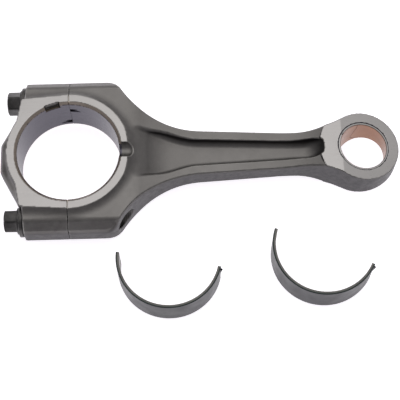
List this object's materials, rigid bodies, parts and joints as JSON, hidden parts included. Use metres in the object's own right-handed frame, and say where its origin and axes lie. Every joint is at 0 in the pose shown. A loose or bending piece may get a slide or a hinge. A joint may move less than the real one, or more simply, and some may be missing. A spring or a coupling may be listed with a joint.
{
  "type": "connecting rod",
  "caption": "Forged H-section connecting rod with a bolted big-end cap, bronze small-end bush and loose bearing shells.",
  "frame": {"origin": "centre of the big-end bore at half its width", "axes": "+X from the big end to the small end, +Z along the bore axes and up from the surface that the rod lies on, +Y completes the frame"},
  "size_m": [0.1889, 0.1145, 0.0242],
  "materials": {
    "forged_steel": "dark shot-peened forging with bright ground faces",
    "bearing_bronze": "fine-bored bronze",
    "black_screw_steel": "black oxide",
    "sleeve_steel": "ground steel",
    "shell_steel": "grey overlay-plated steel"
  },
  "bodies": {
    "rod": {"rod_body": "forged_steel", "small_end_bush": "bearing_bronze", "locating_sleeve_front": "sleeve_steel", "locating_sleeve_rear": "sleeve_steel"},
    "cap": {"rod_cap": "forged_steel", "screw_washer_front": "black_screw_steel", "screw_washer_rear": "black_screw_steel"},
    "front_screw": {"cap_screw_front": "black_screw_steel"},
    "rear_screw": {"cap_screw_rear": "black_screw_steel"},
    "left_shell": {"bearing_shell_left": "shell_steel"},
    "right_shell": {"bearing_shell_right": "shell_steel"}
  },
  "joints": [
    {"name": "cap_draw", "type": "slide", "parent": "rod", "child": "cap", "axis": [-1, 0, 0], "range_m": [0, 0.016]},
    {"name": "front_screw_turn", "type": "hinge", "parent": "cap", "child": "front_screw", "pos_m": [-0.0212, -0.0303, 0], "axis": [-1, 0, 0], "range_deg": [0, 5760]},
    {"name": "rear_screw_turn", "type": "hinge", "parent": "cap", "child": "rear_screw", "pos_m": [-0.0212, 0.0303, 0], "axis": [-1, 0, 0], "range_deg": [0, 5760]},
    {"name": "left_shell_lift", "type": "slide", "parent": "rod", "child": "left_shell", "axis": [0, 0, 1], "range_m": [0, 0.03]},
    {"name": "right_shell_lift", "type": "slide", "parent": "rod", "child": "right_shell", "axis": [0, 0, 1], "range_m": [0, 0.03]}
  ],
  "couplings": [
    {"joint": "front_screw_turn", "follows": "cap_draw", "rad_per_m": 6283.2},
    {"joint": "rear_screw_turn", "follows": "cap_draw", "rad_per_m": 6283.2}
  ]
}
